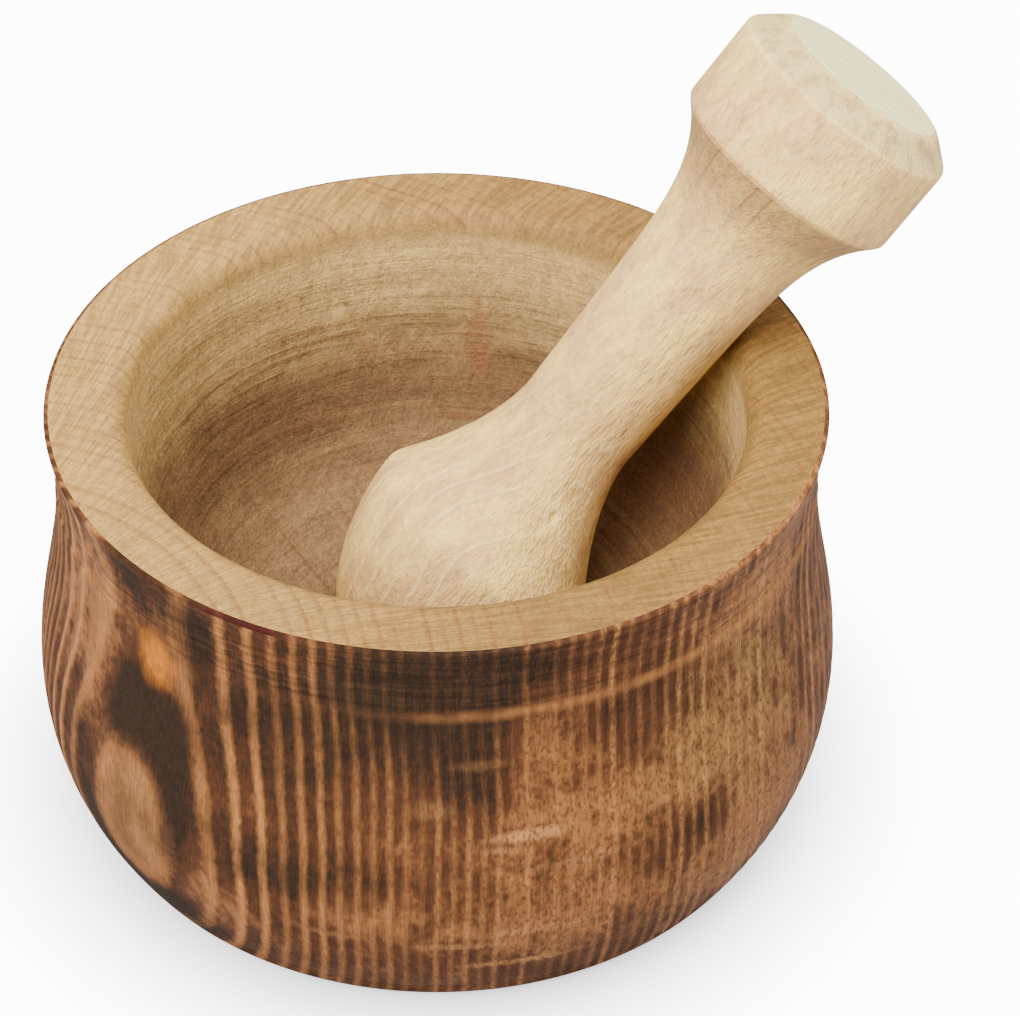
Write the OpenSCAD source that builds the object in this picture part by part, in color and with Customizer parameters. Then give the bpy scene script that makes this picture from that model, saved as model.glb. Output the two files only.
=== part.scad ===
// Turned wooden mortar with its pestle leaning in the bowl.
// The origin is the middle of the flat foot, +Z is up and the pestle leans towards +X.

/* [Mortar] */
// Diameter across the flat rim
rim_d = 120; // [114:1:124]
// Height from the foot to the rim
mortar_h = 74; // [72:1:80]
// Diameter at the widest part of the belly
belly_d = 127.2; // [124:0.2:132]
// Height of the widest part of the belly
belly_z = 25.4; // [23:0.2:29]
// Diameter of the neck, just above the crease
neck_d = 117.6; // [112:0.2:118]
// Height of the crease where the neck meets the belly
crease_z = 60.8; // [57:0.2:63]
// Step out from the neck to the top of the belly
crease_step = 0.3; // [0.1:0.1:0.6]
// Diameter of the flat foot
foot_d = 108; // [100:1:109]

/* [Bowl] */
// Depth of the bowl below the rim
bowl_depth = 61; // [58:1:62]
// Diameter of the bowl just below its rounded edge
mouth_d = 95; // [92:1:98]
// Radius of the rounded edge between the flat rim and the bowl
edge_r = 3.5; // [2.5:0.5:4.5]

/* [Pestle] */
// Length from the rounded tip to the flat end
pestle_l = 126.8; // [124:0.2:132]
// Diameter of the head that crushes
head_d = 39.4; // [36:0.2:41]
// Length of the head's rounded dome
dome_l = 31; // [29:1:33]
// Diameter of the shank at its narrowest
waist_d = 20; // [18:0.5:23]
// Distance of the waist from the tip
waist_s = 55.5; // [53:0.5:60]
// Diameter of the knob
knob_d = 37.8; // [35:0.2:41]
// Height of the knob's straight side
knob_h = 14.6; // [12:0.2:17]
// Diameter of the knob's flat end
end_d = 28.6; // [26:0.2:32]
// Height of the bevel round the flat end
bevel_h = 3.9; // [2:0.1:6]

/* [Resting place] */
// Angle of the leaning pestle from upright
lean = 38; // [36:0.5:41]
// Sideways distance of the pestle's axis from the mortar's
side = 4; // [0:0.5:6]
// Clearance between the pestle and the mortar
clearance = 0.3; // [0.2:0.05:0.5]

/* [Hidden] */
$fn = 180;

// Points along each curved stretch of an outline
steps = 30;

// Mortar, outside
rim_r = rim_d / 2;
belly_r = belly_d / 2;
neck_r = neck_d / 2;
foot_r = foot_d / 2;
rim_break = 0.4;       // small bevel on the rim's outer edge
under_z = 1.5;         // height of the bevel under the belly
under_arc_r = 45;      // radius of the belly's lower half, seen in section
cove_power = 3;        // how suddenly the neck flares out to the rim
crease_h = 0.8;        // height over which the crease steps out
cove_z = crease_z + crease_h;

// Mortar, bowl: a half ellipse in section under the rounded edge
mouth_r = mouth_d / 2;
edge_z = mortar_h - edge_r;
edge_mid_r = mouth_r + edge_r;
floor_z = mortar_h - bowl_depth;
bowl_drop = edge_z - floor_z;

// Pestle, along its own axis from the tip
head_r = head_d / 2;
waist_r = waist_d / 2;
knob_r = knob_d / 2;
knob_s = pestle_l - bevel_h - knob_h;
knob_lip = 0.2;        // the knob's lower edge stands this far proud of the flare
taper_rise = 1.5;      // how much the shank widens evenly between the waist and the knob
shoulder_power = 1.7;  // how suddenly the shank widens into the head
flare_power = 7;       // how suddenly the shank widens into the knob

// Where the pestle rests: its dome on the floor of the bowl, its shank on the rounded edge
dome_drop = norm([dome_l * cos(lean), head_r * sin(lean)]);
floor_rise = bowl_drop * (1 - sqrt(1 - pow(side / mouth_r, 2)));
head_z = floor_z + floor_rise + clearance + dome_drop;
edge_x = sqrt(pow(edge_mid_r, 2) - pow(side, 2));
rest_s = dome_l + (edge_x - head_x_for(waist_r)) * sin(lean) + (edge_z - head_z) * cos(lean);
head_x = head_x_for(shank_r(rest_s));

// Place of the head at which a shank of radius r rests on the edge of the bowl
function head_x_for(r) =
  edge_x - (r + edge_r + clearance + (edge_z - head_z) * sin(lean)) / cos(lean);

// Point of the belly's lower arc at angle a
function lower_belly(a) = [
  belly_r - under_arc_r + under_arc_r * cos(a),
  belly_z + under_arc_r * sin(a)
];

// S-shaped run from the widest part up to the crease, k from 0 to 1
function upper_belly(k) = [
  belly_r + (neck_r + crease_step - belly_r) * (1 - cos(180 * k)) / 2,
  belly_z + (crease_z - belly_z) * k
];

// Hollow neck from the crease up to the rim, k from 0 to 1
function neck(k) = [
  neck_r + (rim_r - neck_r) * pow(k, cove_power),
  cove_z + (mortar_h - rim_break - cove_z) * k
];

// Quarter round from the flat rim into the bowl at angle a, then the bowl's own ellipse
function mouth_edge(a) = [edge_mid_r - edge_r * sin(a), edge_z + edge_r * cos(a)];
function bowl(a) = [mouth_r * cos(a), edge_z - bowl_drop * sin(a)];

// Radius of the shank at distance s from the tip
function shank_r(s) = s < waist_s
  ? waist_r + (head_r - waist_r) * pow((waist_s - s) / (waist_s - dome_l), shoulder_power)
  : let (k = (s - waist_s) / (knob_s - waist_s))
    waist_r + taper_rise * k + (knob_r - knob_lip - waist_r - taper_rise) * pow(k, flare_power);

// Section of the mortar, from the middle of the foot round to the middle of the bowl's floor
module mortar_section() {
  low_angle = asin((under_z - belly_z) / under_arc_r);
  polygon(concat(
    [[0, 0], [foot_r, 0]],
    [for (i = [0 : steps]) lower_belly(low_angle * (1 - i / steps))],
    [for (i = [1 : steps]) upper_belly(i / steps)],
    [for (i = [0 : steps]) neck(i / steps)],
    [[rim_r - rim_break, mortar_h]],
    [for (i = [0 : steps]) mouth_edge(90 * i / steps)],
    [for (i = [1 : steps]) bowl(90 * i / steps)]
  ));
}

// Section of the pestle, standing on its tip
module pestle_section() {
  polygon(concat(
    [for (i = [0 : steps]) [head_r * sin(90 * i / steps), dome_l * (1 - cos(90 * i / steps))]],
    [for (i = [1 : 2 * steps]) let (s = dome_l + (knob_s - dome_l) * i / (2 * steps)) [shank_r(s), s]],
    [[knob_r, knob_s], [knob_r, knob_s + knob_h], [end_d / 2, pestle_l], [0, pestle_l]]
  ));
}

module mortar() {
  color("peru")
    rotate_extrude() mortar_section();
}

module pestle() {
  color("wheat")
    translate([head_x, side, head_z])
      rotate([0, lean, 0])
        translate([0, 0, -dome_l])
          rotate_extrude() pestle_section();
}

mortar();
pestle();
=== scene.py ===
import math

import bpy
import numpy as np
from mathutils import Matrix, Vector


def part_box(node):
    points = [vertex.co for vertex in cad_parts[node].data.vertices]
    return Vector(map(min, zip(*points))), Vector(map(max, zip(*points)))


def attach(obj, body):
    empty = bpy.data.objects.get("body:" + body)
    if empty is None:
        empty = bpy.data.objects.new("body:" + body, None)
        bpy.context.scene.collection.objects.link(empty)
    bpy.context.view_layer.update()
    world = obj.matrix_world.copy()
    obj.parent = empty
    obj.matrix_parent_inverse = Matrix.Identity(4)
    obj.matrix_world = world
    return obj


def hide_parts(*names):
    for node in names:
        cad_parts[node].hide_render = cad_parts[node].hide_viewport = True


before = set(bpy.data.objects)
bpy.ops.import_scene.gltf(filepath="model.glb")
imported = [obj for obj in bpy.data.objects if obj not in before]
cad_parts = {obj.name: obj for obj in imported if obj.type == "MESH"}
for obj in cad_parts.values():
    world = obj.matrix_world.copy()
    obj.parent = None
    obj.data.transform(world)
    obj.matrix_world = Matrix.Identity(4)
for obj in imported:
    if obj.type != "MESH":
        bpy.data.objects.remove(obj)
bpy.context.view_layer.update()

mm = 0.001
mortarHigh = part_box("mortar")[1]
pestleLow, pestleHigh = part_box("pestle")
rimHeight = mortarHigh.z / mm
bellyRadius = mortarHigh.x / mm

camera = {
    "turn": -16.3,             # degrees round from the front
    "place": (-0.12039, -0.41171, 0.40599),
    "angles": (50.401, -0.557, -17.356),
    "lens": 125.15,
}


def makeCamera():
    angles = [math.radians(angle) for angle in camera["angles"]]
    bpy.ops.object.camera_add(location=camera["place"], rotation=angles)
    view = bpy.context.object
    view.name = "studioCamera"
    view.data.lens = camera["lens"]
    view.data.sensor_width = 36
    view.data.clip_start = 0.01
    bpy.context.scene.camera = view


def addNode(tree, kind, **settings):
    node = tree.nodes.new(kind)
    for key, value in settings.items():
        setattr(node, key, value)
    return node


def feed(tree, socket, value):
    if isinstance(value, bpy.types.NodeSocket):
        tree.links.new(value, socket)
    elif value is not None:
        socket.default_value = value


def calc(tree, operation, *values):
    node = addNode(tree, "ShaderNodeMath", operation=operation)
    for socket, value in zip(node.inputs, values):
        feed(tree, socket, value)
    return node.outputs[0]


def vectorCalc(tree, operation, *values):
    node = addNode(tree, "ShaderNodeVectorMath", operation=operation)
    for socket, value in zip(node.inputs, values):
        feed(tree, socket, value)
    return node.outputs["Value" if operation == "LENGTH" else "Vector"]


def ramp(tree, value, fromLow, fromHigh, toLow=0.0, toHigh=1.0):
    node = addNode(tree, "ShaderNodeMapRange", interpolation_type="SMOOTHSTEP")
    for socket, item in zip(node.inputs, (value, fromLow, fromHigh, toLow, toHigh)):
        feed(tree, socket, item)
    return node.outputs[0]


def times(tree, *values):
    result = values[0]
    for value in values[1:]:
        result = calc(tree, "MULTIPLY", result, value)
    return result


def blendColour(tree, factor, first, second, mode="MIX"):
    node = addNode(tree, "ShaderNodeMix", data_type="RGBA", blend_type=mode)
    feed(tree, node.inputs["Factor"], factor)
    for socket, value in zip((node.inputs[6], node.inputs[7]), (first, second)):
        feed(tree, socket, (*value, 1) if isinstance(value, tuple) else value)
    return node.outputs[2]


def vary(tree, value, noise, amount):
    return calc(tree, "MULTIPLY_ADD", calc(tree, "SUBTRACT", noise, 0.5), amount, value)


def offsetFrom(tree, value, middle):
    return calc(tree, "ABSOLUTE", calc(tree, "SUBTRACT", value, middle))


def shadeBy(tree, colour, value, low, high, darkest, lightest):
    return blendColour(tree, 1.0, colour, ramp(tree, value, low, high, darkest, lightest), "MULTIPLY")


def grain(tree, vector, size, detail=2.0, rough=0.5, stretch=None):
    if stretch:
        vector = vectorCalc(tree, "MULTIPLY", vector, stretch)
    node = addNode(tree, "ShaderNodeTexNoise")
    feed(tree, node.inputs["Vector"], vector)
    node.inputs["Scale"].default_value = 1 / size
    node.inputs["Detail"].default_value = detail
    node.inputs["Roughness"].default_value = rough
    return node.outputs["Fac"]


def split(tree, vector):
    node = addNode(tree, "ShaderNodeSeparateXYZ")
    feed(tree, node.inputs[0], vector)
    return node.outputs


def join(tree, x, y, z):
    node = addNode(tree, "ShaderNodeCombineXYZ")
    for socket, value in zip(node.inputs, (x, y, z)):
        feed(tree, socket, value)
    return node.outputs[0]


def startGroup(name, inputs, outputs):
    group = bpy.data.node_groups.new(name, "ShaderNodeTree")
    for label, kind, value in inputs:
        socket = group.interface.new_socket(name=label, in_out="INPUT", socket_type="NodeSocket" + kind)
        if value is not None:
            socket.default_value = value
    for label in outputs:
        group.interface.new_socket(name=label, in_out="OUTPUT", socket_type="NodeSocketFloat")
    return group, group.nodes.new("NodeGroupInput").outputs, group.nodes.new("NodeGroupOutput").inputs


def useGroup(tree, name, values):
    node = addNode(tree, "ShaderNodeGroup", node_tree=effects[name])
    for label, value in values.items():
        feed(tree, node.inputs[label], value)
    return node.outputs


# how rings wander: radians per mm along x, y and z, and where each wave starts
ringWaves = {"slow": (0.05, 0.0, 0.11, 0.6), "quick": (0.13, -0.09, 0.31, 0.0)}

# how the tree of the mortar grew; lengths in mm
mortarTree = {
    "pith": (-89.9, -43.8, 0.0),   # the tree's middle, outside the block
    "first": 37.4,                 # distance of the first pale line from the pith
    "pitch": 2.15,                 # width of the late rings
    "young": 4.3,                  # how many rings the wide early growth skips
    "fade": 14.0,                  # distance over which growth settles
    "slow": 0.28,                  # how far the rings wander, slowly and quickly
    "quick": 0.09,
}


def ringCountAt(x, y, z):
    tree = mortarTree
    slow, quick = [np.sin(x * wave[0] + y * wave[1] + z * wave[2] + wave[3]) for wave in ringWaves.values()]
    away = np.hypot(x - tree["pith"][0], y - tree["pith"][1])
    past = away + slow * tree["slow"] + quick * tree["quick"] - tree["first"]
    return away, past / tree["pitch"] - tree["young"] * (1 - np.exp(-past / tree["fade"]))


def wander(group, x, y, z, wave):
    flat = calc(group, "MULTIPLY_ADD", y, wave[1], calc(group, "MULTIPLY_ADD", x, wave[0], wave[3]))
    return calc(group, "SINE", calc(group, "MULTIPLY_ADD", z, wave[2], flat))


def growthRings():
    group, given, out = startGroup("growthRings", [
        ("Vector", "Vector", None), ("Pith", "Vector", None), ("First", "Float", 37.4),
        ("Pitch", "Float", 2.15), ("Young", "Float", 4.3), ("Fade", "Float", 14.0),
        ("Slow Sway", "Float", 0.3), ("Quick Sway", "Float", 0.1), ("Jitter", "Float", 0.15),
    ], ["Distance", "Phase", "Signed", "Ring Tone"])
    x, y, z = split(group, given["Vector"])
    fromPith = vectorCalc(group, "SUBTRACT", given["Vector"], given["Pith"])
    away = vectorCalc(group, "LENGTH", vectorCalc(group, "MULTIPLY", fromPith, (1, 1, 0)))
    slow, quick = [wander(group, x, y, z, wave) for wave in ringWaves.values()]
    noise = calc(group, "SUBTRACT", grain(group, given["Vector"], 4.0, 3.0, 0.6, (1, 1, 0.35)), 0.5)
    past = calc(group, "SUBTRACT", away, given["First"])
    for sway, label in ((slow, "Slow Sway"), (quick, "Quick Sway"), (noise, "Jitter")):
        past = calc(group, "MULTIPLY_ADD", sway, given[label], past)
    fading = calc(group, "DIVIDE", calc(group, "MULTIPLY", past, -1.0), given["Fade"])
    settled = calc(group, "EXPONENT", fading)
    skipped = calc(group, "MULTIPLY", calc(group, "SUBTRACT", 1.0, settled), given["Young"])
    count = calc(group, "SUBTRACT", calc(group, "DIVIDE", past, given["Pitch"]), skipped)
    nearest = calc(group, "ROUND", count)
    signed = calc(group, "SUBTRACT", count, nearest)
    tone = addNode(group, "ShaderNodeTexWhiteNoise", noise_dimensions="1D")
    feed(group, tone.inputs["W"], nearest)
    for socket, value in zip(out, (away, calc(group, "ABSOLUTE", signed), signed, tone.outputs["Value"])):
        feed(group, socket, value)
    return group


def woodFibre():
    group, given, out = startGroup("woodFibre", [
        ("Vector", "Vector", None), ("Length", "Float", 6.0), ("Width", "Float", 0.35),
        ("Threshold", "Float", 0.62),
    ], ["Fibre", "Dash"])
    x, y, z = split(group, given["Vector"])
    along = calc(group, "DIVIDE", calc(group, "MULTIPLY", z, given["Width"]), given["Length"])
    noise = addNode(group, "ShaderNodeTexNoise")
    feed(group, noise.inputs["Vector"], join(group, x, y, along))
    feed(group, noise.inputs["Scale"], calc(group, "DIVIDE", 1.0, given["Width"]))
    noise.inputs["Detail"].default_value = 2.0
    high = calc(group, "ADD", given["Threshold"], 0.10)
    feed(group, out["Fibre"], noise.outputs["Fac"])
    feed(group, out["Dash"], ramp(group, noise.outputs["Fac"], given["Threshold"], high))
    return group


def woodRays():
    group, given, out = startGroup("woodRays", [
        ("Vector", "Vector", None), ("Pith", "Vector", None), ("Width", "Float", 0.35),
        ("Length", "Float", 6.0), ("Height", "Float", 2.5),
    ], ["Ray"])
    x, y, z = split(group, vectorCalc(group, "SUBTRACT", given["Vector"], given["Pith"]))
    away = vectorCalc(group, "LENGTH", join(group, x, y, 0.0))
    radius = 100.0   # how far from the pith a ray has its given width, in mm
    arc = calc(group, "MULTIPLY", calc(group, "ARCTAN2", y, x), radius)
    spread = [calc(group, "DIVIDE", value, given[label]) for value, label in
              ((arc, "Width"), (away, "Length"), (z, "Height"))]
    noise = addNode(group, "ShaderNodeTexNoise")
    feed(group, noise.inputs["Vector"], join(group, *spread))
    noise.inputs["Scale"].default_value = 1.0
    noise.inputs["Detail"].default_value = 1.0
    feed(group, out["Ray"], noise.outputs["Fac"])
    return group


def patch():
    group, given, out = startGroup("patch", [
        ("Vector", "Vector", None), ("Centre", "Vector", None), ("Size", "Vector", (1, 1, 1)),
        ("Ragged", "Float", 0.0), ("Soft", "Float", 0.5),
    ], ["Mask"])
    away = vectorCalc(group, "SUBTRACT", given["Vector"], given["Centre"])
    away = vectorCalc(group, "DIVIDE", away, given["Size"])
    reach = calc(group, "ADD", given["Ragged"], vectorCalc(group, "LENGTH", away))
    low, high = calc(group, "SUBTRACT", 1.0, given["Soft"]), calc(group, "ADD", 1.0, given["Soft"])
    feed(group, out["Mask"], ramp(group, reach, low, high, 1.0, 0.0))
    return group


def turnedLines():
    group, given, out = startGroup("turnedLines", [
        ("Vector", "Vector", None), ("Pitch", "Float", 1.0), ("Length", "Float", 8.0),
    ], ["Line"])
    x, y, z = split(group, given["Vector"])
    along = calc(group, "DIVIDE", given["Pitch"], given["Length"])
    noise = addNode(group, "ShaderNodeTexNoise")
    stretched = join(group, calc(group, "MULTIPLY", x, along), calc(group, "MULTIPLY", y, along), z)
    feed(group, noise.inputs["Vector"], stretched)
    feed(group, noise.inputs["Scale"], calc(group, "DIVIDE", 1.0, given["Pitch"]))
    noise.inputs["Detail"].default_value = 3.0
    noise.inputs["Roughness"].default_value = 0.6
    feed(group, out["Line"], noise.outputs["Fac"])
    return group


effects = {
    "rings": growthRings(), "fibre": woodFibre(), "rays": woodRays(), "patch": patch(),
    "turned": turnedLines(),
}
print("node groups ready")

mortarShape = {
    "rim": 60.0, "neck": 58.8, "crease": 60.8, "creaseStep": 0.3, "widest": 25.4, "underArc": 45.0,
    "foot": 54.0, "mouth": 47.5, "edge": 3.5, "floor": 13.0, "segments": 660,
    # how far the foot is hollowed, and the deeper lathe rings in it
    "hollow": 0.3, "footRing": 0.65,
    # two turned lines above the foot
    "lines": (3.3, 4.65), "lineDepth": 0.22, "lineWidth": 0.28,
    # the straight part of the neck starts this far above the crease and ends this far under the rim
    "neckStart": 0.8, "neckEnd": 0.4,
}


def outsideRadius(z):
    shape = mortarShape
    above = z - shape["widest"]
    if above < 0:
        return bellyRadius - shape["underArc"] + math.sqrt(shape["underArc"] ** 2 - above ** 2)
    if z < shape["crease"]:
        k = above / (shape["crease"] - shape["widest"])
        narrowing = shape["neck"] + shape["creaseStep"] - bellyRadius
        return bellyRadius + narrowing * (1 - math.cos(math.pi * k)) / 2
    low, high = shape["crease"] + shape["neckStart"], rimHeight - shape["neckEnd"]
    k = min(1.0, max(0.0, (z - low) / (high - low)))
    return shape["neck"] + (shape["rim"] - shape["neck"]) * k ** 3


def groove(z, places, depth, width):
    return sum(depth * math.exp(-((z - place) / width) ** 2) for place in places)


def mortarOutline():
    shape = mortarShape
    hollow, ring = shape["hollow"], shape["footRing"]
    points = [(r, hollow) for r in (0.0, 8, 16, 20.6)] + [(21, ring)]
    points += [(r, hollow) for r in (21.4, 30, 37.6)] + [(38, ring)]
    points += [(r, hollow) for r in (38.4, 44, 50)] + [(51.5, 0.05), (shape["foot"], 0.0), (55.4, 0.5)]
    heights = [1.5 + 0.45 * i for i in range(9)] + [6.6 + 1.2 * i for i in range(45)] + [60.2, 60.7]
    for z in heights:
        line = groove(z, shape["lines"], shape["lineDepth"], shape["lineWidth"])
        points.append((outsideRadius(z) - line, z))
    points += [(59.05, 60.95), (58.86, 61.25)]
    points += [(outsideRadius(z), z) for z in np.linspace(61.7, 73.2, 10)]
    points += [(59.93, 73.55), (59.82, 73.8), (59.6, 73.95), (59.2, rimHeight)]
    points += [(r, rimHeight) for r in (58, 56.5, 55, 53.5, 52)]
    middle = shape["mouth"] + shape["edge"]
    top = rimHeight - shape["edge"]
    for i in range(7):
        a = math.radians(15 * i)
        points.append((middle - shape["edge"] * math.sin(a), top + shape["edge"] * math.cos(a)))
    rings = 50
    for i in range(1, rings):
        a = math.pi / 2 * i / rings
        ripple = 0.05 * math.sin(2.9 * i) + 0.04 * math.sin(1.7 * i + 1) if 2 < i < rings - 2 else 0.0
        reach = 1 - ripple / 50
        points.append((shape["mouth"] * math.cos(a) * reach,
                       top - (top - shape["floor"]) * math.sin(a) * (reach if i > 5 else 1)))
    points.append((0.0, shape["floor"]))
    return points


def turnOnLathe(name, outline, segments):
    bpy.ops.object.select_all(action="DESELECT")
    bpy.ops.mesh.primitive_plane_add(size=0.001, location=(0, 0, 0))
    piece = bpy.context.object
    piece.name = piece.data.name = name
    bpy.ops.object.mode_set(mode="EDIT")
    bpy.ops.mesh.select_all(action="SELECT")
    bpy.ops.mesh.merge(type="CENTER")
    bpy.ops.transform.translate(value=(outline[0][0] * mm, 0, outline[0][1] * mm))
    for (r0, z0), (r1, z1) in zip(outline, outline[1:]):
        step = ((r1 - r0) * mm, 0, (z1 - z0) * mm)
        bpy.ops.mesh.extrude_region_move(TRANSFORM_OT_translate={"value": step})
    bpy.ops.mesh.select_all(action="SELECT")
    bpy.ops.mesh.spin(steps=segments, angle=2 * math.pi, center=(0, 0, 0), axis=(0, 0, 1))
    bpy.ops.mesh.select_all(action="SELECT")
    bpy.ops.mesh.remove_doubles(threshold=0.000004)
    bpy.ops.mesh.normals_make_consistent(inside=False)
    bpy.ops.object.mode_set(mode="OBJECT")
    return piece


def paintWeights(piece, name, weights):
    layer = piece.vertex_groups.new(name=name)
    for index, weight in enumerate(weights):
        if weight > 0.001:
            layer.add([index], float(weight), "REPLACE")
    return layer


def pressIn(piece, layer, depth):
    press = piece.modifiers.new(layer.name, "DISPLACE")
    press.vertex_group = layer.name
    press.mid_level = 0.0
    press.strength = -depth * mm
    bpy.context.view_layer.objects.active = piece
    bpy.ops.object.modifier_apply(modifier=press.name)


def cornersOf(piece):
    flat = np.empty(len(piece.data.vertices) * 3, dtype=np.float64)
    piece.data.vertices.foreach_get("co", flat)
    return flat.reshape(-1, 3) / mm


def softStep(value, low, high):
    k = np.clip((value - low) / (high - low), 0, 1)
    return k * k * (3 - 2 * k)


# how the soft wood between the ring lines is brushed back; lengths in mm
brushing = {
    "depth": 0.26, "line": (0.16, 0.34), "weaker": (50, 80), "foot": (2.0, 6.0), "neck": (68.0, 72.6),
    # no brushing inside the first radius, nor inside the second one above this height
    "inner": 53.5, "lip": 58, "lipAt": 70,
}


def makeMortar():
    piece = turnOnLathe("mortarWood", mortarOutline(), mortarShape["segments"])
    corners = cornersOf(piece)
    x, y, z = corners.T
    away, count = ringCountAt(x, y, z)
    soft = softStep(np.abs(count - np.round(count)), *brushing["line"])
    outside = np.hypot(x, y) > np.where(z > brushing["lipAt"], brushing["lip"], brushing["inner"])
    strength = 1.0 - 0.6 * softStep(away, *brushing["weaker"])
    fade = softStep(z, *brushing["foot"]) * (1 - softStep(z, *brushing["neck"]))
    weights = np.where(outside, soft * strength * fade, 0.0)
    pressIn(piece, paintWeights(piece, "brushedGrain", weights), brushing["depth"])
    return piece


mortar = makeMortar()
print("mortar turned", len(mortar.data.polygons), "faces")

pestleShape = {
    "length": 126.8, "head": 19.7, "dome": 31.0, "waist": 10.0, "waistAt": 55.5, "taper": 1.5,
    "knob": 18.9, "knobHeight": 14.6, "flare": 18.7, "end": 14.3, "bevel": 3.9, "lean": 38.0,
    "headCurve": 1.7, "flareCurve": 7, "segments": 360,
}


def shankRadius(s):
    shape = pestleShape
    knobAt = shape["length"] - shape["bevel"] - shape["knobHeight"]
    if s < shape["waistAt"]:
        k = (shape["waistAt"] - s) / (shape["waistAt"] - shape["dome"])
        return shape["waist"] + (shape["head"] - shape["waist"]) * k ** shape["headCurve"]
    k = (s - shape["waistAt"]) / (knobAt - shape["waistAt"])
    widening = shape["flare"] - shape["waist"] - shape["taper"]
    return shape["waist"] + shape["taper"] * k + widening * k ** shape["flareCurve"]


def pestleOutline():
    shape = pestleShape
    knobAt = shape["length"] - shape["bevel"] - shape["knobHeight"]
    points = []
    for i in range(37):
        a = math.radians(2.5 * i)
        points.append((shape["head"] * math.sin(a), shape["dome"] * (1 - math.cos(a))))
    points[-1] = (shape["head"] - 0.08, shape["dome"] - 0.1)
    count = 150
    for i in range(1, count):
        s = shape["dome"] + (knobAt - shape["dome"]) * i / count
        points.append((shankRadius(s), s))
    knobTop = knobAt + shape["knobHeight"]
    points += [(18.2, knobAt - 0.25), (18.62, knobAt - 0.02), (18.83, knobAt + 0.3)]
    points.append((shape["knob"], knobAt + 0.8))
    points += [(shape["knob"], knobAt + s) for s in (3, 5.5, 8, 10.5, 12.6)]
    points += [(shape["knob"], knobTop - 0.7), (18.8, knobTop - 0.2), (18.5, knobTop + 0.25)]
    for k in (0.3, 0.55):
        points.append((shape["knob"] + (shape["end"] - shape["knob"]) * k, knobTop + shape["bevel"] * k))
    top = shape["length"]
    points += [(15.4, top - 0.95), (14.75, top - 0.45), (14.1, top - 0.16)]
    points += [(r, top) for r in (13.3, 11, 8, 5, 2.5, 0)]
    return points


torn = {
    "depth": 0.55,
    # distance from the tip, degrees round, size across and along, share of the full depth
    "tears": [
        (44, 264, 0.7, 1.2, 1.0), (46.5, 259, 0.8, 1.0, 0.4), (42, 258, 0.6, 1.4, 0.35),
        (48, 270, 0.7, 1.1, 0.3), (40, 268, 0.8, 1.5, 0.3), (50, 262, 0.6, 1.2, 0.3),
        (58, 60, 0.7, 1.6, 0.5), (37, 130, 0.8, 1.3, 0.4),
    ],
}


def tornGrain(piece):
    x, y, z = cornersOf(piece).T
    weights = np.zeros(len(z))
    for s, turn, across, along, share in torn["tears"]:
        a = math.radians(turn)
        radius = shankRadius(s)
        away = ((x - radius * math.cos(a)) / across) ** 2 + ((y - radius * math.sin(a)) / across) ** 2
        weights = np.maximum(weights, share * np.exp(-away - ((z - s) / along) ** 2))
    layer = paintWeights(piece, "tornGrain", np.where(weights > 0.02, weights, 0))
    pressIn(piece, layer, torn["depth"])


def makePestle():
    piece = turnOnLathe("pestleWood", pestleOutline(), pestleShape["segments"])
    tornGrain(piece)
    piece.rotation_euler = (0, math.radians(pestleShape["lean"]), 0)
    bpy.context.view_layer.update()
    turned = np.array([piece.matrix_world @ v.co for v in piece.data.vertices])
    middle = (turned.min(axis=0) + turned.max(axis=0)) / 2
    piece.location = (pestleLow + pestleHigh) / 2 - Vector(middle)
    place = tuple(piece.location / mm)
    bpy.ops.object.transform_apply(location=True, rotation=True, scale=True)
    return piece, place


pestle, pestleTip = makePestle()
print("pestle turned", len(pestle.data.polygons), "faces, tip at", [round(v, 2) for v in pestleTip])


def startMaterial(name):
    material = bpy.data.materials.new(name)
    material.use_nodes = True
    tree = material.node_tree
    tree.nodes.clear()
    shader = addNode(tree, "ShaderNodeBsdfPrincipled")
    output = addNode(tree, "ShaderNodeOutputMaterial")
    tree.links.new(shader.outputs[0], output.inputs[0])
    metres = addNode(tree, "ShaderNodeTexCoord").outputs["Object"]
    return material, tree, shader, vectorCalc(tree, "MULTIPLY", metres, (1000, 1000, 1000))


def finishMaterial(tree, shader, colour, rough, gloss, height, strength, depth):
    feed(tree, shader.inputs["Base Color"], colour)
    feed(tree, shader.inputs["Roughness"], rough)
    shader.inputs["Specular IOR Level"].default_value = gloss
    node = addNode(tree, "ShaderNodeBump")
    feed(tree, node.inputs["Strength"], strength)
    node.inputs["Distance"].default_value = depth * mm
    feed(tree, node.inputs["Height"], height)
    feed(tree, shader.inputs["Normal"], node.outputs[0])


def mortarRings(tree, place, jitter):
    wood = mortarTree
    return useGroup(tree, "rings", {
        "Vector": place, "Pith": wood["pith"], "First": wood["first"], "Pitch": wood["pitch"],
        "Young": wood["young"], "Fade": wood["fade"], "Slow Sway": wood["slow"],
        "Quick Sway": wood["quick"], "Jitter": jitter,
    })


def markAt(tree, place, turn, radius, z, size, ragged, soft):
    around = math.radians(camera["turn"] + turn)
    centre = (radius * math.sin(around), -radius * math.cos(around), z)
    return useGroup(tree, "patch", {
        "Vector": place, "Centre": centre, "Size": size, "Ragged": ragged, "Soft": soft,
    })["Mask"]


def markOnBelly(tree, place, mark, ragged, soft):
    turn, z, wide, tall = mark[:4]
    return markAt(tree, place, turn, outsideRadius(z), z, (wide, wide, tall), ragged, soft)


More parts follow.
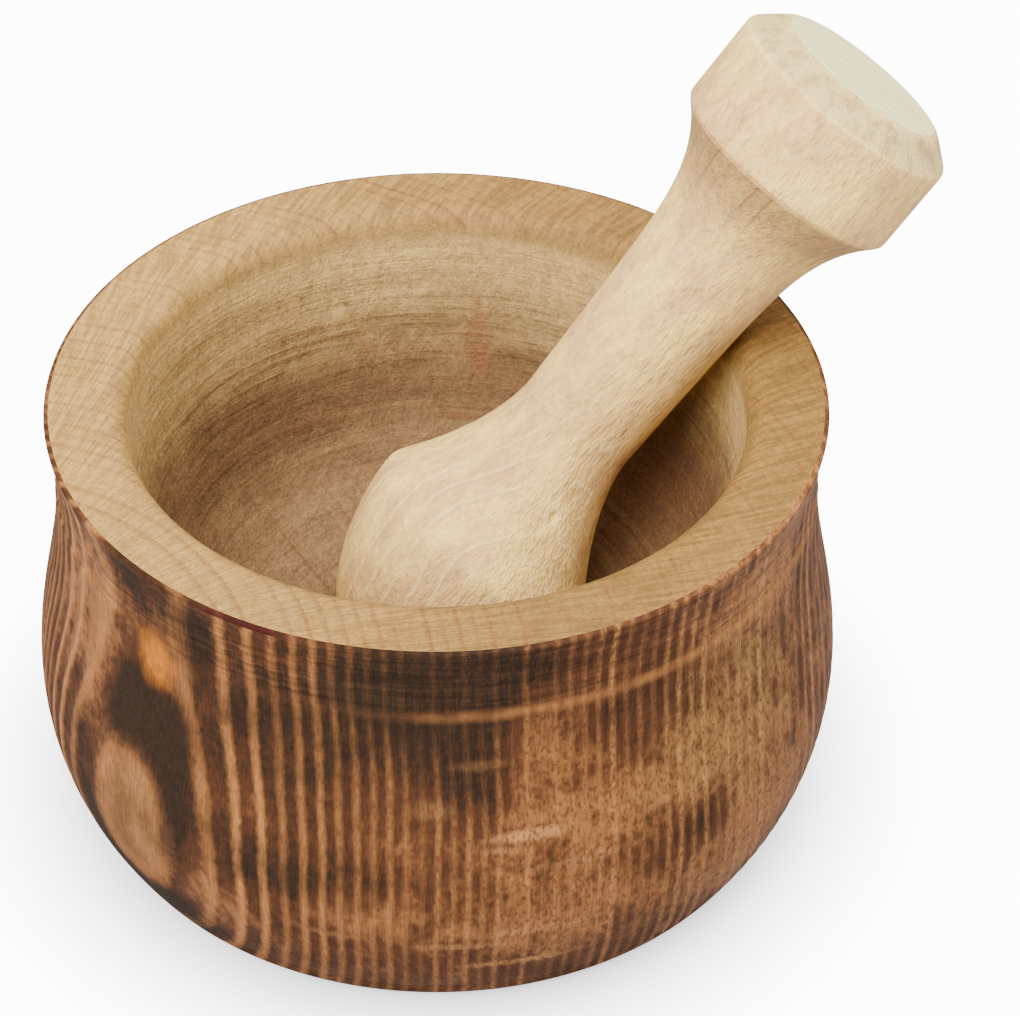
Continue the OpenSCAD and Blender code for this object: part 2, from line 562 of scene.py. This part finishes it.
scorch = {
    "pale": (0.300, 0.120, 0.038),
    "mid": (0.135, 0.051, 0.0165),
    "brown": (0.055, 0.0205, 0.0085),
    "char": (0.021, 0.0115, 0.0066),
    "core": (0.175, 0.076, 0.026),
    "straw": (0.30, 0.150, 0.043),
    "scuff": (0.36, 0.160, 0.058),
    "glow": (0.42, 0.130, 0.012),
    "rimLine": (0.035, 0.007, 0.005),
    # degrees round from the front, height, size across, size up, and how much darker
    "patches": [
        (-47, 46, 8, 7, 0.95), (-40, 36, 3.2, 14, 0.6), (-59, 24, 4, 12, 0.5), (-46, 8, 12, 5, 0.7),
        (-47, 69, 9, 4, 0.3), (-37, 67, 4, 7, 0.5), (-15, 58, 12, 12, 0.35), (0, 68, 12, 9, 0.8),
        (4, 54, 7, 10, 0.6), (22, 70, 16, 4.5, 0.35), (29, 56, 10, 7, 0.4), (-26, 30, 12, 5, 0.25),
        (5, 46, 4, 7, 0.35), (-57, 50, 5, 20, -0.35), (-33, 18, 5, 9, -0.4), (46, 23, 8, 12, -0.35),
        (-32, 52, 6, 8, 0.25), (15, 54, 6, 6, -0.35), (-63, 56, 8, 14, -0.4), (56, 66, 8, 8, -0.4),
        (57, 22, 8, 9, -0.35), (-12, 31, 8, 5, 0.3), (38.5, 30, 5, 3.2, 0.4), (25, 6, 20, 5, 0.2),
        (14, 40, 13, 7, -0.3), (12, 23, 18, 6, -0.3), (-12, 23, 8, 4, -0.2), (45, 42, 13, 10, -0.25),
        (33, 29, 9, 4, 0.2), (43, 34, 6, 3, 0.2),
        (150, 40, 30, 12, 0.5), (200, 58, 22, 10, 0.5), (110, 62, 16, 8, 0.4),
        (-110, 30, 16, 10, 0.4), (-150, 60, 14, 8, 0.4), (175, 15, 30, 6, -0.3), (95, 25, 14, 9, -0.3),
    ],
    # the same for the pale strokes where the char is rubbed away
    "scuffs": [
        (12, 39.2, 5.5, 1.0, 0.8), (9, 37.0, 3, 0.7, 0.35), (6, 52, 4, 0.8, 0.15), (-1, 44.5, 3.0, 1.6, 0.2),
        (11, 12.4, 8, 0.7, 0.5), (13, 20.5, 8, 0.7, 0.35), (2, 18, 6, 0.7, 0.3), (-15, 19, 5, 0.7, 0.2),
        (20, 33, 8, 0.8, 0.25), (165, 44, 9, 0.7, 0.6), (-140, 22, 7, 0.6, 0.5), (100, 35, 6, 0.6, 0.5),
    ],
    # one of each: the light side, the orange spot under the neck, and the dark red lip
    "strawMark": (46, 45, 16, 14), "glowMark": (-44.5, 57.5, 3.4, 4.2), "lipMark": (-27, 73.6, 6.5, 2.2),
    # heights in mm: the crease, the neck, and the charred edge of the foot
    "crease": 61.0, "neck": (59, 64), "lip": (73.1, 73.6), "footEdge": (0.6, 1.8),
    # mm from the pith: where the knot at the heart ends
    "coreEdge": (36.9, 37.9),
}


def scorchedSide():
    material, tree, shader, place = startMaterial("scorchedSide")
    rings = mortarRings(tree, place, 0.5)
    z = split(tree, place)[2]
    away = rings["Distance"]
    broad = grain(tree, place, 15.0, 3.0, 0.6, (1, 1, 0.8))
    blotch = grain(tree, place, 5.0, 3.0, 0.6, (1, 1, 0.8))
    cells = grain(tree, place, 1.35, 2.0, 0.6, (1, 1, 0.8))
    ragged = vary(tree, 0.0, blotch, 0.9)
    burn = vary(tree, ramp(tree, away, 44, 110, 0.52, 0.26), broad, 0.55)
    for mark in scorch["patches"]:
        mask = markOnBelly(tree, place, mark, ragged, 0.85)
        burn = calc(tree, "MULTIPLY_ADD", mask, mark[4], burn)
    burn = vary(tree, burn, blotch, 1.2)
    spotty = vary(tree, burn, cells, 0.65)
    band = blendColour(tree, ramp(tree, spotty, -0.1, 0.55), scorch["mid"], scorch["brown"])
    band = blendColour(tree, ramp(tree, spotty, 0.45, 1.0), band, scorch["char"])
    wobble = vary(tree, rings["Phase"], cells, 0.22)
    line = ramp(tree, wobble, 0.02, ramp(tree, away, 42, 60, 0.28, 0.36), 1.0, 0.0)
    line = times(tree, line, ramp(tree, cells, 0.36, 0.6, ramp(tree, away, 50, 64, 0.85, 0.45), 1.0),
                 ramp(tree, rings["Ring Tone"], 0.0, 1.0, ramp(tree, away, 50, 62, 0.6, 0.25), 1.0))
    kept = times(tree, ramp(tree, burn, 0.4, 1.25, 1.0, 0.12), ramp(tree, away, 46, 66, 1.0, 0.7),
                 ramp(tree, away, 84, 104, 1.0, 1.35))
    straw = markOnBelly(tree, place, scorch["strawMark"], ragged, 0.6)
    pale = blendColour(tree, straw, scorch["pale"], scorch["straw"])
    soft = blendColour(tree, ramp(tree, spotty, 0.4, -0.4, 0.0, 0.6), band, pale)
    colour = blendColour(tree, times(tree, line, kept), soft, pale)
    inCore = ramp(tree, calc(tree, "MULTIPLY_ADD", ragged, 1.2, away), *scorch["coreEdge"], 1.0, 0.0)
    mottled = shadeBy(tree, blendColour(tree, straw, scorch["core"], pale), blotch, 0.35, 0.65, 1.2, 0.75)
    colour = blendColour(tree, times(tree, inCore, ramp(tree, burn, 0.75, 1.2, 1.0, 0.0)), colour, mottled)
    glow = markOnBelly(tree, place, scorch["glowMark"], ragged, 0.5)
    glow = times(tree, glow, ramp(tree, cells, 0.3, 0.7, 0.65, 0.95))
    colour = blendColour(tree, glow, colour, scorch["glow"])
    for mark in scorch["scuffs"]:
        mask = markOnBelly(tree, place, mark, ragged, 0.6)
        colour = blendColour(tree, times(tree, mask, mark[4]), colour, scorch["scuff"])
    speck = ramp(tree, grain(tree, place, 0.6, 2.0, 0.6, (1, 1, 0.6)), 0.5, 0.64)
    sooty = times(tree, speck, ramp(tree, away, 62, 86, 0.1, 0.6))
    colour = blendColour(tree, sooty, colour, scorch["brown"])
    fibre = useGroup(tree, "fibre", {"Vector": place, "Length": 7.0, "Width": 0.32, "Threshold": 0.6})
    colour = shadeBy(tree, colour, fibre["Fibre"], 0.3, 0.7, 0.82, 1.2)
    turned = useGroup(tree, "turned", {"Vector": place, "Pitch": 0.7, "Length": 14.0})["Line"]
    neck = ramp(tree, z, *scorch["neck"])
    colour = shadeBy(tree, colour, turned, 0.3, 0.7, calc(tree, "MULTIPLY_ADD", neck, -0.24, 0.96),
                     calc(tree, "MULTIPLY_ADD", neck, 0.36, 1.04))
    crease = ramp(tree, offsetFrom(tree, z, scorch["crease"]), 0.1, 1.5, 0.55, 0.0)
    crease = times(tree, crease, ramp(tree, away, 58, 92, 0.05, 1.0),
                   ramp(tree, blotch, 0.35, 0.6, 0.4, 1.0))
    colour = blendColour(tree, crease, colour, pale)
    lip = markOnBelly(tree, place, scorch["lipMark"], calc(tree, "MULTIPLY", ragged, 2.0), 0.5)
    lip = times(tree, ramp(tree, z, *scorch["lip"]), lip)
    colour = blendColour(tree, lip, colour, scorch["rimLine"])
    colour = blendColour(tree, ramp(tree, z, *scorch["footEdge"], 0.85, 0.0), colour, scorch["char"])
    raised = calc(tree, "MULTIPLY_ADD", line, 0.6, fibre["Fibre"])
    height = calc(tree, "SUBTRACT", raised, times(tree, speck, 0.4))
    finishMaterial(tree, shader, colour, ramp(tree, spotty, 0.0, 1.0, 0.6, 0.8), 0.06, height, 0.5, 0.22)
    return material


bare = {
    "pale": (0.370, 0.214, 0.058),
    "honey": (0.210, 0.112, 0.027),
    "arc": (0.195, 0.082, 0.019),
    "pore": (0.15, 0.07, 0.023),
    # the upper wall of the bowl: partly its paler side grain, partly painted light, as it is paler than the
    # rim to make up for the lesser light it gets
    "wall": (0.50, 0.33, 0.115),
    "deep": (0.125, 0.066, 0.027),
    "floor": (0.25, 0.145, 0.062),
    "shade": (0.110, 0.048, 0.019),
    "red": (0.17, 0.060, 0.023),
    # degrees round from the front, radius, height, and size each way, in mm; the first mark is painted
    # shadow of the pestle on the bowl's right wall, over wood that is darker there
    "shadowAndDarkWoodMark": (112, 37, 34, (26, 26, 24)), "veinMark": (171, 44.3, 50, (1.8, 3.0, 9.0)),
    # heights between which the wall of the bowl gives way to the rim, spread out so the wall's painted light
    # fades as the wall turns up into the rim
    "rimBlend": (66.5, 73.4),
}


def endGrain(tree, place, jitter):
    rings = mortarRings(tree, place, jitter)
    late = times(tree, ramp(tree, rings["Signed"], -0.34, 0.08),
                 ramp(tree, rings["Signed"], 0.06, 0.18, 1.0, 0.0))
    rays = useGroup(tree, "rays", {"Vector": place, "Pith": mortarTree["pith"], "Width": 0.5, "Length": 7.0,
                                   "Height": 2.5})["Ray"]
    return rings, late, rays


def bareWood():
    material, tree, shader, place = startMaterial("bareWood")
    rings, late, rays = endGrain(tree, place, 0.6)
    x, y, z = split(tree, place)
    cloud = grain(tree, place, 11.0, 3.0, 0.6)
    fuzz = grain(tree, place, 0.55, 3.0, 0.7)
    drift = calc(tree, "SUBTRACT", cloud, 0.5)
    side = calc(tree, "MULTIPLY_ADD", y, -0.35, calc(tree, "MULTIPLY_ADD", drift, 50.0, x))
    top = blendColour(tree, ramp(tree, side, -60, 35), bare["pale"], bare["honey"])
    arcs = times(tree, late, ramp(tree, rings["Ring Tone"], 0.0, 1.0, 0.2, 0.85),
                 ramp(tree, side, -50, 10, 0.6, 1.0))
    rim = blendColour(tree, arcs, top, bare["arc"])
    level = calc(tree, "MULTIPLY_ADD", drift, 14.0, z)
    # the wall runs from dark brown low down to pale at the top; the pale top is partly painted light
    wall = blendColour(tree, ramp(tree, level, 44, 68), bare["deep"], bare["wall"])
    wall = blendColour(tree, ramp(tree, level, 26, 42, 1.0, 0.0), wall, bare["floor"])
    streak = useGroup(tree, "turned", {"Vector": place, "Pitch": 0.9, "Length": 20.0})["Line"]
    wide = useGroup(tree, "turned", {"Vector": place, "Pitch": 3.2, "Length": 30.0})["Line"]
    middle = times(tree, ramp(tree, z, 32, 40), ramp(tree, z, 48, 66, 1.0, 0.15))
    wall = blendColour(tree, times(tree, ramp(tree, streak, 0.52, 0.66), middle, 0.75), wall, bare["shade"])
    wall = shadeBy(tree, wall, wide, 0.35, 0.65, 0.86, 1.1)
    redRing = times(tree, late, ramp(tree, rings["Ring Tone"], 0.55, 1.0), ramp(tree, cloud, 0.4, 0.55))
    wall = blendColour(tree, times(tree, redRing, ramp(tree, z, 66, 56), 0.45), wall, bare["red"])
    woolly = grain(tree, place, 1.8, 3.0, 0.6, (1, 1, 0.7))
    wall = shadeBy(tree, wall, woolly, 0.3, 0.7, 0.88, 1.1)
    arcsBelow = times(tree, late, ramp(tree, z, 36, 24),
                      ramp(tree, rings["Ring Tone"], 0.0, 1.0, 0.15, 0.5))
    wall = blendColour(tree, arcsBelow, wall, bare["pore"])
    # painted shadow: the pestle's shadow on the right wall, laid over wood that is darker there too
    shadowAndDarkWood = markAt(tree, place, *bare["shadowAndDarkWoodMark"], drift, 0.5)
    shadowAndDarkWood = times(tree, shadowAndDarkWood, ramp(tree, streak, 0.35, 0.65, 0.85, 0.5))
    wall = blendColour(tree, shadowAndDarkWood, wall, bare["shade"])
    vein = markAt(tree, place, *bare["veinMark"], drift, 0.7)
    wall = blendColour(tree, times(tree, vein, 0.5), wall, bare["red"])
    colour = blendColour(tree, ramp(tree, z, *bare["rimBlend"]), wall, rim)
    onRim = ramp(tree, z, 70.5, 73.6, 0.3, 1.0)
    colour = shadeBy(tree, colour, rays, 0.32, 0.7, calc(tree, "MULTIPLY_ADD", onRim, -0.22, 1.0),
                     calc(tree, "MULTIPLY_ADD", onRim, 0.18, 1.0))
    colour = shadeBy(tree, colour, fuzz, 0.32, 0.7, 0.8, 1.2)
    colour = blendColour(tree, ramp(tree, fuzz, 0.58, 0.76, 0.0, 0.4), colour, bare["pore"])
    rough = calc(tree, "ADD", calc(tree, "MULTIPLY", woolly, 1.3), streak)
    rough = calc(tree, "MULTIPLY_ADD", rough, ramp(tree, z, 66, 73, 1.0, 0.0), fuzz)
    height = calc(tree, "MULTIPLY_ADD", rays, onRim, rough)
    height = times(tree, height, ramp(tree, z, 64, 73.5, 1.0, 0.45))
    finishMaterial(tree, shader, colour, ramp(tree, z, 66, 73.5, 0.85, 0.6), 0.15, height, 1.0, 0.28)
    return material


def bareFoot():
    material, tree, shader, place = startMaterial("bareFoot")
    late, rays = endGrain(tree, place, 0.6)[1:]
    speck = grain(tree, place, 0.5, 3.0, 0.65)
    radius = vectorCalc(tree, "LENGTH", vectorCalc(tree, "MULTIPLY", place, (1, 1, 0)))
    colour = blendColour(tree, times(tree, late, 0.7), bare["floor"], bare["arc"])
    colour = shadeBy(tree, colour, rays, 0.32, 0.7, 0.86, 1.12)
    colour = blendColour(tree, ramp(tree, speck, 0.55, 0.76, 0.0, 0.6), colour, bare["pore"])
    smoke = calc(tree, "MULTIPLY_ADD", grain(tree, place, 7.0, 4.0, 0.6), 14.0, radius)
    colour = blendColour(tree, ramp(tree, smoke, 53, 63, 0.0, 0.9), colour, scorch["brown"])
    finishMaterial(tree, shader, colour, 0.75, 0.2, calc(tree, "ADD", speck, rays), 0.4, 0.2)
    return material


beech = {
    "cream": (0.90, 0.585, 0.175),
    "pink": (0.72, 0.42, 0.155),
    "line": (0.36, 0.20, 0.085),
    "light": (0.97, 0.74, 0.30),
    "bevel": (0.36, 0.22, 0.090),
    "end": (0.97, 0.88, 0.42),
    # the tree that the pestle came from, and the curls of grain under its knob; lengths in mm
    "rings": {"Pith": (26.0, -46.0, 0.0), "First": 20.0, "Pitch": 3.4, "Young": 1.0, "Fade": 14.0,
              "Slow Sway": 1.2, "Quick Sway": 0.3, "Jitter": 1.3},
    "curls": {"Pith": (-3.0, -19.0, 0.0), "First": 3.0, "Pitch": 2.4, "Young": 0.5, "Fade": 8.0,
              "Slow Sway": 0.5, "Quick Sway": 0.5, "Jitter": 1.2},
    # where the bevel of the knob starts below the end, its slope, and the edge of the end face
    "bevelDrop": 4.0, "bevelSlope": 0.85, "faceEdge": 14.2, "face": (13.6, 13.9),
}


def palePestle():
    material, tree, shader, place = startMaterial("palePestle")
    mapping = addNode(tree, "ShaderNodeMapping", vector_type="TEXTURE")
    mapping.inputs["Location"].default_value = pestleTip
    mapping.inputs["Rotation"].default_value = (0, math.radians(pestleShape["lean"]), 0)
    feed(tree, mapping.inputs["Vector"], place)
    place = mapping.outputs[0]
    x, y, z = split(tree, place)
    radius = vectorCalc(tree, "LENGTH", vectorCalc(tree, "MULTIPLY", place, (1, 1, 0)))
    leaning = join(tree, calc(tree, "MULTIPLY_ADD", z, 0.5, x), calc(tree, "MULTIPLY_ADD", z, 0.35, y), z)
    rings = useGroup(tree, "rings", {"Vector": leaning, **beech["rings"]})
    cloud = grain(tree, place, 9.0, 3.0, 0.6, (1, 1, 0.55))
    flush = grain(tree, place, 2.6, 2.0, 0.6, (1, 1, 0.5))
    fuzz = grain(tree, place, 0.75, 3.0, 0.7, (1, 1, 0.6))
    fibres = useGroup(tree, "fibre", {"Vector": place, "Length": 2.4, "Width": 0.36, "Threshold": 0.58})
    colour = blendColour(tree, ramp(tree, cloud, 0.38, 0.64), beech["cream"], beech["pink"])
    colour = shadeBy(tree, colour, flush, 0.3, 0.7, 0.88, 1.1)
    late = ramp(tree, rings["Phase"], 0.02, 0.16, 1.0, 0.0)
    tone = ramp(tree, rings["Ring Tone"], 0.3, 1.0, 0.0, 0.4)
    seen = times(tree, ramp(tree, z, 42, 66, 1.0, 0.35), ramp(tree, cloud, 0.36, 0.56))
    colour = blendColour(tree, times(tree, late, tone, seen), colour, beech["line"])
    early = times(tree, ramp(tree, rings["Signed"], 0.06, 0.26, 0.5, 0.0),
                  ramp(tree, rings["Signed"], -0.02, 0.06))
    colour = blendColour(tree, times(tree, early, seen), colour, beech["light"])
    dashes = times(tree, fibres["Dash"], ramp(tree, z, 60, 106, 0.25, 0.5))
    colour = blendColour(tree, dashes, colour, beech["line"])
    colour = shadeBy(tree, colour, fuzz, 0.32, 0.7, 0.88, 1.09)
    colour = shadeBy(tree, colour, z, 30, 95, 0.84, 1.0)
    # the band under the knob's lip, where the grain curls are drawn and painted shade is laid
    shadeAndCurlsUnderLip = times(tree, ramp(tree, z, 92, 107), ramp(tree, z, 107.6, 108.4, 1.0, 0.0))
    swirl = useGroup(tree, "rings", {"Vector": place, **beech["curls"]})
    curls = times(tree, ramp(tree, swirl["Phase"], 0.02, 0.15, 1.0, 0.0), shadeAndCurlsUnderLip,
                  ramp(tree, swirl["Ring Tone"], 0.3, 0.9, 0.1, 0.7))
    colour = blendColour(tree, curls, colour, beech["line"])
    # painted shade: the flare under the knob's lip is darkened, standing in for the shadow of the knob
    colour = shadeBy(tree, colour, shadeAndCurlsUnderLip, 0.0, 1.0, 1.0, 0.6)
    top = pestleShape["length"]
    inwards = calc(tree, "SUBTRACT", pestleShape["knob"], radius)
    step = calc(tree, "SUBTRACT", z, times(tree, inwards, beech["bevelSlope"]))
    bevelAt = top - beech["bevelDrop"]
    bevel = ramp(tree, step, bevelAt - 0.15, bevelAt + 0.15)
    colour = blendColour(tree, times(tree, bevel, 0.85), colour, beech["bevel"])
    # painted highlight with some edge wear: pale lines where the knob meets the bevel and the bevel meets
    # the end face, the light these edges catch
    edge = ramp(tree, offsetFrom(tree, step, bevelAt), 0.12, 0.6, 0.5, 0.0)
    inner = ramp(tree, offsetFrom(tree, radius, beech["faceEdge"]), 0.2, 0.6, 0.6, 0.0)
    wearAndHighlight = calc(tree, "MAXIMUM", edge, times(tree, inner, bevel))
    wearAndHighlight = times(tree, wearAndHighlight, ramp(tree, flush, 0.35, 0.6, 0.3, 1.0))
    colour = blendColour(tree, wearAndHighlight, colour, beech["light"])
    face = blendColour(tree, ramp(tree, fuzz, 0.45, 0.7, 0.0, 0.6), beech["end"], beech["light"])
    face = blendColour(tree, times(tree, late, 0.3), face, beech["pink"])
    face = shadeBy(tree, face, cloud, 0.35, 0.65, 0.94, 1.0)
    onFace = times(tree, ramp(tree, radius, *beech["face"], 1.0, 0.0), ramp(tree, z, top - 1.0, top - 0.5))
    colour = blendColour(tree, onFace, colour, face)
    height = calc(tree, "MULTIPLY_ADD", fibres["Fibre"], 0.7, calc(tree, "MULTIPLY_ADD", flush, 1.2, fuzz))
    finishMaterial(tree, shader, colour, 0.75, 0.2, height, 1.0, 0.36)
    return material


# how far up and out the foot's own wood goes, how deep the burnt skin is, and where the rim's wood starts
skin = {"footTop": 0.9, "footRadius": 55.5, "lowest": 1.5, "depth": 4, "rimAt": 73.9, "rimRadius": 59.3}


def dressMortar(piece):
    for material in (scorchedSide(), bareWood(), bareFoot()):
        piece.data.materials.append(material)
    for face in piece.data.polygons:
        x, y, z = (v / mm for v in face.center)
        r = math.hypot(x, y)
        inside = r < outsideRadius(max(z, skin["lowest"])) - skin["depth"]
        onRim = z > skin["rimAt"] and r < skin["rimRadius"]
        if z < skin["footTop"] and r < skin["footRadius"]:
            face.material_index = 2
        elif inside or onRim:
            face.material_index = 1


dressMortar(mortar)
pestle.data.materials.append(palePestle())
smoothAngle = math.radians(40)
for piece in (mortar, pestle):
    bpy.ops.object.select_all(action="DESELECT")
    piece.select_set(True)
    bpy.context.view_layer.objects.active = piece
    bpy.ops.object.shade_smooth_by_angle(angle=smoothAngle)
print("materials ready")

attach(mortar, "mortar")
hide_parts("mortar")
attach(pestle, "pestle")
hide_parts("pestle")

studio = {
    "floorSize": 6.0, "floorShade": 0.5, "sky": 0.5,
    # how far out from the axis the sweep's own light starts and is full, and how bright it is at each; the
    # dimmer ring near the mortar is a painted shadow round its foot
    "paintedShadowReach": (0.052, 0.088), "sweepGlow": (0.9, 11.5),
    # strength, softness, degrees round from the front, height in degrees
    "key": (6.2, 42, -38, 46), "top": (3.2, 50, -5, 74), "back": (3.0, 60, 115, 58),
}


def makeFloor():
    bpy.ops.object.select_all(action="DESELECT")
    bpy.ops.mesh.primitive_plane_add(size=studio["floorSize"], location=(0, 0, -0.0002))
    floor = bpy.context.object
    floor.name = "studioFloor"
    material = bpy.data.materials.new("paleFloor")
    material.use_nodes = True
    tree = material.node_tree
    shader = tree.nodes["Principled BSDF"]
    shade = studio["floorShade"]
    shader.inputs["Base Color"].default_value = (shade, shade, shade, 1)
    shader.inputs["Roughness"].default_value = 0.9
    shader.inputs["Emission Color"].default_value = (1, 1, 1, 1)
    away = vectorCalc(tree, "LENGTH", addNode(tree, "ShaderNodeTexCoord").outputs["Object"])
    # painted shadow: the glow is dimmed near the mortar, and the floor's real shadow shows through it
    glow = ramp(tree, away, *studio["paintedShadowReach"], *studio["sweepGlow"])
    # the sweep looks lit, but throws no light on the wood
    seen = addNode(tree, "ShaderNodeLightPath").outputs["Is Camera Ray"]
    feed(tree, shader.inputs["Emission Strength"], calc(tree, "MULTIPLY", seen, glow))
    floor.data.materials.append(material)


def addSun(name, strength, spread, turn, height):
    around, up = math.radians(camera["turn"] + turn), math.radians(height)
    bpy.ops.object.light_add(type="SUN", location=(0, 0, 1))
    light = bpy.context.object
    light.name = name
    light.data.energy = strength
    light.data.angle = math.radians(spread)
    aim = Vector((-math.sin(around) * math.cos(up), math.cos(around) * math.cos(up), -math.sin(up)))
    light.rotation_euler = aim.to_track_quat("-Z", "Y").to_euler()


def makeStudio():
    makeFloor()
    world = bpy.data.worlds.new("softStudio")
    world.use_nodes = True
    world.node_tree.nodes["Background"].inputs["Color"].default_value = (1, 1, 1, 1)
    world.node_tree.nodes["Background"].inputs["Strength"].default_value = studio["sky"]
    bpy.context.scene.world = world
    addSun("keyLight", *studio["key"])
    addSun("topLight", *studio["top"])
    addSun("backLight", *studio["back"])


makeCamera()
makeStudio()
print("studio ready")
